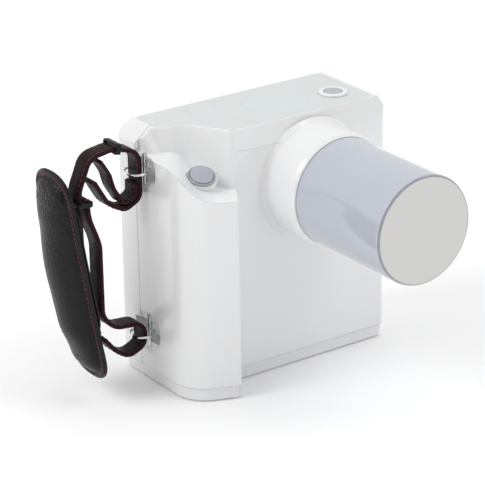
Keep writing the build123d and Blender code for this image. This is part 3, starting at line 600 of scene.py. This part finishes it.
def thread_material():
    """Waxed burgundy thread with a fine twist."""
    shader = Shader("burgundy_thread", (0.18, 0.03, 0.05), 0.55)
    shader.color(shader.blend(shader.noise(800, 2.0), (0.13, 0.02, 0.034), (0.25, 0.045, 0.07)))
    shader.roughness(shader.spread(shader.noise(900, 2.0), 0.3, 0.7, 0.45, 0.65))
    shader.bump(shader.noise(3800, 1.0), 0.5, 0.08 * MM)
    return shader.material


THREAD = thread_material()


def make_keeper(node):
    """Leather loop around the strap: the CAD loop softened, with rounded edges."""
    piece = bpy.data.objects.new(node + "_leather", NODES[node].data.copy())
    bpy.context.scene.collection.objects.link(piece)
    piece.data.materials.clear()
    piece.data.materials.append(MATERIALS[SLOT_OF[node]])
    remesh = piece.modifiers.new("remesh", "REMESH")
    remesh.mode = "VOXEL"
    remesh.voxel_size = KEEPER_VOXEL
    remesh.use_smooth_shade = True
    smooth = piece.modifiers.new("smooth", "SMOOTH")
    smooth.factor = 0.6
    smooth.iterations = 4
    apply_modifiers(piece)
    for vertex in piece.data.vertices:
        vertex.co += vertex.normal * 0.10 * MM * noise.noise(vertex.co * 300)
    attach(piece, "hand_strap")
    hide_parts(node)


def apply_modifiers(piece):
    """Replace the mesh by its evaluated shape and drop the modifiers."""
    bpy.context.view_layer.update()
    graph = bpy.context.evaluated_depsgraph_get()
    mesh = bpy.data.meshes.new_from_object(piece.evaluated_get(graph))
    piece.modifiers.clear()
    piece.data = mesh
    for polygon in mesh.polygons:
        polygon.use_smooth = True


# ---------------------------------------------------------------- hand pad
SQUARENESS = 2.5
PANEL_STEP = 2.2 * MM
PAD_FLANGE = 2.6 * MM
PAD_SEAM = 0.80
PAD_EDGE = 0.985
PAD_THREAD = 0.28 * MM
# Thickness of the stuffed pad in mm at shares of its length, from the lower end up.
PAD_STUFFING = [(0, 5.0), (0.10, 8.4), (0.30, 12.4), (0.55, 13.2), (0.78, 11.0), (0.93, 8.4), (1, 6.0)]
HELD_BELOW = 3.0 * MM
FREE_ABOVE = 5.0 * MM
SWELL_FRAMES = 20
SWELL_REACH = 1.2 * MM
SWELL_SMOOTHING = 14
GATHERS_FROM = 0.60


class Panel:
    """A long leather panel: a slightly bowed spine in XZ with a round-ended outline along Y."""

    def __init__(self, foot, top, half_width, bow, thickness):
        self.foot = Vector(foot)
        self.top = Vector(top)
        self.half_width = half_width
        self.bow = bow
        self.thickness = thickness
        self.length = (self.top - self.foot).length
        self.along = (self.top - self.foot).normalized()
        self.out = Vector((-self.along.z, 0, self.along.x))

    def place(self, run, side, height):
        """Point at run along the spine, side across it and height outwards, all in metres."""
        share = run / self.length
        lift = self.bow * sin(pi * min(max(share, 0), 1)) + height
        return self.foot + self.along * run + self.out * lift + Vector((0, side, 0))

    def full(self, run):
        """Thickness of the stuffed middle at run along the spine."""
        share = min(max(run / self.length, 0), 1)
        for (start, thin), (end, thick) in zip(self.thickness, self.thickness[1:]):
            if share <= end:
                turn = (share - start) / (end - start)
                turn = turn * turn * (3 - 2 * turn)
                return thin + (thick - thin) * turn
        return self.thickness[-1][1]

    def rim(self, angle):
        """(spine run, run, side) of the outline at an angle, with squared-round ends."""
        width = self.half_width
        power = 2 / SQUARENESS
        run = abs(cos(angle)) ** power * (1 if cos(angle) > 0 else -1) * width
        side = abs(sin(angle)) ** power * (1 if sin(angle) > 0 else -1) * width
        straight = self.length - 2 * width
        spine = width + (straight if cos(angle) > 0 else 0)
        return spine, run, side


def outline_points(panel, spacing):
    """Even points round a panel's edge as (spine run, run offset, side)."""
    steps = 90
    raw = [panel.rim(2 * pi * (number + 0.5) / steps) for number in range(steps)]
    flat = [Vector((spine + run, side)) for spine, run, side in raw]
    even = resample(flat, spacing)
    width = panel.half_width
    found = []
    for point in even:
        spine = min(max(point.x, width), panel.length - width)
        found.append((spine, point.x - spine, point.y))
    return found


def make_panel_mesh(name, panel, flange, seam, back_crown):
    """Closed mesh of a stuffed panel with a flat stitched flange all round."""
    rim = outline_points(panel, PANEL_STEP)
    front = [(1.0, 0.45), (PAD_EDGE, 0.78), (0.95, 0.97), (0.90, 1.0), (seam + 0.05, 1.0)]
    front = front + [(seam + 0.015, 0.82), (seam - 0.02, 1.02)]
    crown = [seam * share for share in (0.93, 0.86, 0.76, 0.64, 0.50, 0.34, 0.17)]
    vertices = []
    levels = 0
    for reach, height in front:
        for spine, run, side in rim:
            vertices.append(panel.place(spine + run * reach, side * reach, flange * height))
        levels += 1
    for reach in crown:
        share = reach / seam
        for spine, run, side in rim:
            rise = (1 - share ** 2.3) ** 0.62
            height = flange + (panel.full(spine + run * reach) - flange) * rise
            vertices.append(panel.place(spine + run * reach, side * reach, height))
        levels += 1
    front_levels = levels
    for spine, _, _ in rim:
        vertices.append(panel.place(spine, 0, panel.full(spine)))
    levels += 1
    back = [(1.0, 0.2), (0.98, 0.0), (0.9, -0.05), (0.7, -0.45), (0.45, -0.8), (0.2, -0.97)]
    for reach, depth in back:
        for spine, run, side in rim:
            drop = flange * depth if depth >= 0 else back_crown * depth
            vertices.append(panel.place(spine + run * reach, side * reach, drop))
        levels += 1
    for spine, _, _ in rim:
        vertices.append(panel.place(spine, 0, -back_crown))
    count = len(rim)
    faces = []

    def bridge(upper, lower):
        for column in range(count):
            after = (column + 1) % count
            faces.append((upper * count + column, upper * count + after,
                          lower * count + after, lower * count + column))

    for level in range(front_levels):
        bridge(level, level + 1)
    first_back = front_levels + 1
    bridge(0, first_back)
    for level in range(first_back, levels):
        bridge(level, level + 1)
    mesh = mesh_from(name, vertices, faces)
    work = bmesh.new()
    work.from_mesh(mesh)
    bmesh.ops.remove_doubles(work, verts=work.verts, dist=0.02 * MM)
    bmesh.ops.dissolve_degenerate(work, edges=work.edges, dist=0.02 * MM)
    bmesh.ops.recalc_face_normals(work, faces=work.faces)
    work.to_mesh(mesh)
    work.free()
    for polygon in mesh.polygons:
        polygon.use_smooth = True
    return mesh


def averaged(mesh, values):
    """Each vertex's value averaged with those of its neighbours."""
    total = list(values)
    count = [1] * len(values)
    for edge in mesh.edges:
        a, b = edge.vertices
        total[a] += values[b]
        total[b] += values[a]
        count[a] += 1
        count[b] += 1
    return [whole / number for whole, number in zip(total, count)]


def swell(piece, panel):
    """Inflate the stuffed middle with a short cloth simulation; the flange and back stay put."""
    mesh = piece.data
    before = [vertex.co.copy() for vertex in mesh.vertices]
    group = piece.vertex_groups.new(name="held")
    for vertex in mesh.vertices:
        offset = vertex.co - panel.foot
        share = min(max(offset.dot(panel.along) / panel.length, 0), 1)
        height = offset.dot(panel.out) - panel.bow * sin(pi * share)
        held = min(max((FREE_ABOVE - height) / (FREE_ABOVE - HELD_BELOW), 0.0), 1.0)
        group.add([vertex.index], held, "REPLACE")
    cloth = piece.modifiers.new("cloth", "CLOTH")
    settings = cloth.settings
    settings.quality = 6
    settings.mass = 0.25
    settings.tension_stiffness = 12
    settings.compression_stiffness = 12
    settings.shear_stiffness = 6
    settings.bending_stiffness = 4
    settings.use_pressure = True
    settings.uniform_pressure_force = 4
    settings.shrink_min = -0.01
    settings.vertex_group_mass = "held"
    settings.pin_stiffness = 1.0
    settings.effector_weights.gravity = 0
    cloth.collision_settings.use_collision = False
    cloth.point_cache.frame_start = 1
    cloth.point_cache.frame_end = SWELL_FRAMES
    scene = bpy.context.scene
    for step in range(1, SWELL_FRAMES + 1):
        scene.frame_set(step)
    graph = bpy.context.evaluated_depsgraph_get()
    swollen = piece.evaluated_get(graph).data
    moved = [vertex.co.copy() for vertex in swollen.vertices]
    piece.modifiers.clear()
    normals = [vertex.normal.copy() for vertex in mesh.vertices]
    shifts = []
    for start, end, normal in zip(before, moved, normals):
        shifts.append(min(max((end - start).dot(normal), 0.0), SWELL_REACH))
    for _ in range(SWELL_SMOOTHING):
        shifts = averaged(mesh, shifts)
    for vertex, start, shift, normal in zip(mesh.vertices, before, shifts, normals):
        vertex.co = start + normal * shift
    scene.frame_set(1)


def crease(piece, panel):
    """Soft gathers in the leather, strongest near the top end, and small dents everywhere."""
    mesh = piece.data
    for vertex in mesh.vertices:
        offset = vertex.co - panel.foot
        run = offset.dot(panel.along) / panel.length
        height = offset.dot(panel.out)
        if height < HELD_BELOW + 0.2 * MM:
            continue
        gather = max(0.0, (run - GATHERS_FROM) / (1 - GATHERS_FROM))
        fold = noise.noise(Vector((offset.y * 60, run * 42, 0.3)))
        dent = noise.noise(Vector((offset.y * 90, run * 16, 5.1)))
        vertex.co += panel.out * (0.34 * gather * fold + 0.10 * dent) * MM


def make_hand_pad():
    """The stuffed outer pad of the hand strap, with its stitches."""
    low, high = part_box("hand_pad")
    middle = (low.y + high.y) / 2
    foot = (high.x - 0.6 * MM, middle, low.z + 0.4 * MM)
    top = (low.x + 7.4 * MM, middle, high.z - 0.6 * MM)
    half = (high.y - low.y) / 2 - 0.2 * MM
    panel = Panel(foot, top, half, 0.9 * MM, [(share, depth * MM) for share, depth in PAD_STUFFING])
    mesh = make_panel_mesh("hand_pad_leather", panel, PAD_FLANGE, PAD_SEAM, 0.3 * MM)
    piece = bpy.data.objects.new("hand_pad_leather", mesh)
    bpy.context.scene.collection.objects.link(piece)
    mesh.materials.append(MATERIALS["leather_black"])
    swell(piece, panel)
    crease(piece, panel)
    rounding = piece.modifiers.new("rounding", "SUBSURF")
    rounding.levels = 2
    rounding.render_levels = 2
    apply_modifiers(piece)
    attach(piece, "hand_strap")
    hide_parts("hand_pad")

    reach = (PAD_SEAM + PAD_EDGE) / 2
    points = []
    for spine, run, side in outline_points(panel, 3.0 * MM):
        points.append(panel.place(spine + run * reach, side * reach, PAD_FLANGE + 0.12 * MM))
    places = []
    for point, after in zip(points, points[1:] + points[:1]):
        places.append((point, (after - point).normalized(), panel.out))
    make_stitches("pad_stitches", places, PAD_THREAD)


def make_pad_lining():
    """The thin padded lining between the outer pad and the hand."""
    low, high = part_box("pad_lining")
    middle = (low.y + high.y) / 2
    foot = (high.x - 1.9 * MM, middle, low.z + 0.5 * MM)
    top = (low.x + 1.9 * MM, middle, high.z - 0.5 * MM)
    half = (high.y - low.y) / 2 - 0.3 * MM
    lining = Panel(foot, top, half, 0.8 * MM, [(0, 1.9 * MM), (1, 1.9 * MM)])
    mesh = make_panel_mesh("pad_lining_leather", lining, 1.5 * MM, PAD_SEAM, 1.5 * MM)
    piece = new_piece("pad_lining_leather", mesh, "hand_strap", "leather_black")
    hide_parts("pad_lining")


for strap in ("upper_strap", "strap_tail", "lower_strap"):
    make_strap(strap)
for keeper in ("strap_keeper_top", "strap_keeper_side"):
    make_keeper(keeper)
make_hand_pad()
make_pad_lining()


# ---------------------------------------------------------------- printed and raised marks
MARK_SUNK = 0.05 * MM
MARK_RAISED = 0.12 * MM


def make_mark(name, body, slot_name, shapes, place):
    """Thin raised symbols: each shape is a closed outline in its own plane, lifted off the surface."""
    vertices = []
    faces = []
    for outline in shapes:
        base = len(vertices)
        count = len(outline)
        for lift in (-MARK_SUNK, MARK_RAISED):
            for u, v in outline:
                vertices.append(place(u * MM, v * MM, lift))
        faces.append(tuple(range(base, base + count)))
        faces.append(tuple(reversed(range(base + count, base + 2 * count))))
        for number in range(count):
            after = (number + 1) % count
            faces.append((base + number, base + after, base + count + after, base + count + number))
    mesh = mesh_from(name, vertices, faces, smooth=False)
    recalculate(mesh)
    return new_piece(name, mesh, body, slot_name)


def bar(u0, v0, u1, v1):
    return [(u0, v0), (u1, v0), (u1, v1), (u0, v1)]


def arc_band(radius, width, start, end, steps=20):
    """A band along an arc, as a chain of short quads."""
    quads = []
    for number in range(steps):
        a = radians(start + (end - start) * number / steps)
        b = radians(start + (end - start) * (number + 1) / steps)
        inner = radius - width / 2
        outer = radius + width / 2
        quads.append([(inner * cos(a), inner * sin(a)), (outer * cos(a), outer * sin(a)),
                      (outer * cos(b), outer * sin(b)), (inner * cos(b), inner * sin(b))])
    return quads


def on_rear(node):
    """Placer for marks on a rear key: u to the viewer's right, v up, lifted off the key's face."""
    low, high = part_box(node)
    centre_x = (low.x + high.x) / 2
    centre_z = (low.z + high.z) / 2

    def place(u, v, lift):
        return (centre_x - u, high.y + lift, centre_z + v)

    return place


def on_top(node):
    low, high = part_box(node)
    centre_x = (low.x + high.x) / 2
    centre_y = (low.y + high.y) / 2

    def place(u, v, lift):
        return (centre_x + u, centre_y + v, high.z + lift)

    return place


def make_marks():
    power = arc_band(2.3, 0.5, 125, 415) + [bar(-0.25, 0.9, 0.25, 3.1)]
    make_mark("power_symbol", "power_button", "panel_grey", power, on_top("power_button"))
    triangle = [(-1.5, -1.3), (1.5, -1.3), (0.0, 1.6)]
    left = [(1.3, -1.5), (1.3, 1.5), (-1.6, 0.0)]
    right = [(-1.3, -1.5), (1.6, 0.0), (-1.3, 1.5)]
    lines = [bar(-1.7, v - 0.25, 1.7, v + 0.25) for v in (-1.3, 0.0, 1.3)]
    ring = arc_band(1.5, 0.6, 0, 360, 28)
    for node, shapes in (("key_up", [triangle]), ("key_left", [left]), ("key_right", [right]),
                         ("key_menu", lines), ("key_set", ring)):
        make_mark(node + "_symbol", node, "black_plastic", shapes, on_rear(node))


make_marks()


# ---------------------------------------------------------------- stage
FLOOR_HALF = 6.0
# Painted glow of the floor: weak near the unit, which paints a darker patch there, and stronger farther
# out.
FLOOR_GLOW_NEAR = 0.07
FLOOR_GLOW_FAR = 0.22
SHADE_SIDE = (-0.68, -0.72, -0.12)
SKY_BRIGHT = 0.84
SKY_SHADE = 0.06
LIGHT_SIZE = 0.9
LIGHTS = {"key": ((0.7, -0.9, 1.6), 5.0), "left": ((-1.3, 0.1, 1.2), 8.5)}


def make_floor():
    """White paper floor with a painted glow, weaker near the unit: a painted darker patch there, so that
    its soft shadow shows.
    """
    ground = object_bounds()[0].z
    signs = ((-1, -1), (1, -1), (1, 1), (-1, 1))
    corners = [(right * FLOOR_HALF, back * FLOOR_HALF, ground) for right, back in signs]
    mesh = mesh_from("floor", corners, [(0, 1, 2, 3)], smooth=False)
    shader = Shader("floor_paper", (0.93, 0.93, 0.93), 0.8)
    shader.color(shader.blend(shader.noise(3, 3.0), (0.925, 0.925, 0.93), (0.94, 0.94, 0.94)))
    shader.bsdf.inputs["Emission Color"].default_value = (1, 1, 1, 1)
    x, y, _ = shader.axes()
    squared = shader.math("ADD", shader.math("MULTIPLY", x, x), shader.math("MULTIPLY", y, y))
    # Painted light: the floor emits, less near the unit, which paints shade round it.
    painted_glow = shader.spread(squared, 0.015, 0.16, FLOOR_GLOW_NEAR, FLOOR_GLOW_FAR)
    shader.link(painted_glow, shader.bsdf.inputs["Emission Strength"])
    mesh.materials.append(shader.material)
    floor = bpy.data.objects.new("floor", mesh)
    bpy.context.scene.collection.objects.link(floor)


def make_sky():
    """Bright white surroundings with one dim side, so that the gloss has something to reflect."""
    world = bpy.data.worlds.new("studio")
    world.use_nodes = True
    tree = world.node_tree
    background = tree.nodes["Background"]
    place = tree.nodes.new("ShaderNodeTexCoord")
    toward = tree.nodes.new("ShaderNodeVectorMath")
    toward.operation = "DOT_PRODUCT"
    toward.inputs[1].default_value = SHADE_SIDE
    tree.links.new(place.outputs["Generated"], toward.inputs[0])
    dimming = tree.nodes.new("ShaderNodeMapRange")
    dimming.interpolation_type = "SMOOTHSTEP"
    limits = {"From Min": 0.45, "From Max": 0.97, "To Min": SKY_BRIGHT, "To Max": SKY_SHADE}
    for name, value in limits.items():
        dimming.inputs[name].default_value = value
    tree.links.new(toward.outputs["Value"], dimming.inputs["Value"])
    tree.links.new(dimming.outputs["Result"], background.inputs["Strength"])
    background.inputs["Color"].default_value = (1, 1, 1, 1)
    bpy.context.scene.world = world


def add_light(name, place, power):
    data = bpy.data.lights.new(name, "AREA")
    data.shape = "DISK"
    data.size = LIGHT_SIZE
    data.energy = power
    light = bpy.data.objects.new(name, data)
    bpy.context.scene.collection.objects.link(light)
    light.location = place
    light.rotation_mode = "QUATERNION"
    light.rotation_quaternion = (Vector((0, 0, 0.08)) - Vector(place)).to_track_quat("-Z", "Y")


make_floor()
make_sky()
for light_name, (light_place, light_power) in LIGHTS.items():
    add_light(light_name, light_place, light_power)
bpy.context.scene.view_settings.view_transform = "Standard"
bpy.context.scene.view_settings.look = "None"
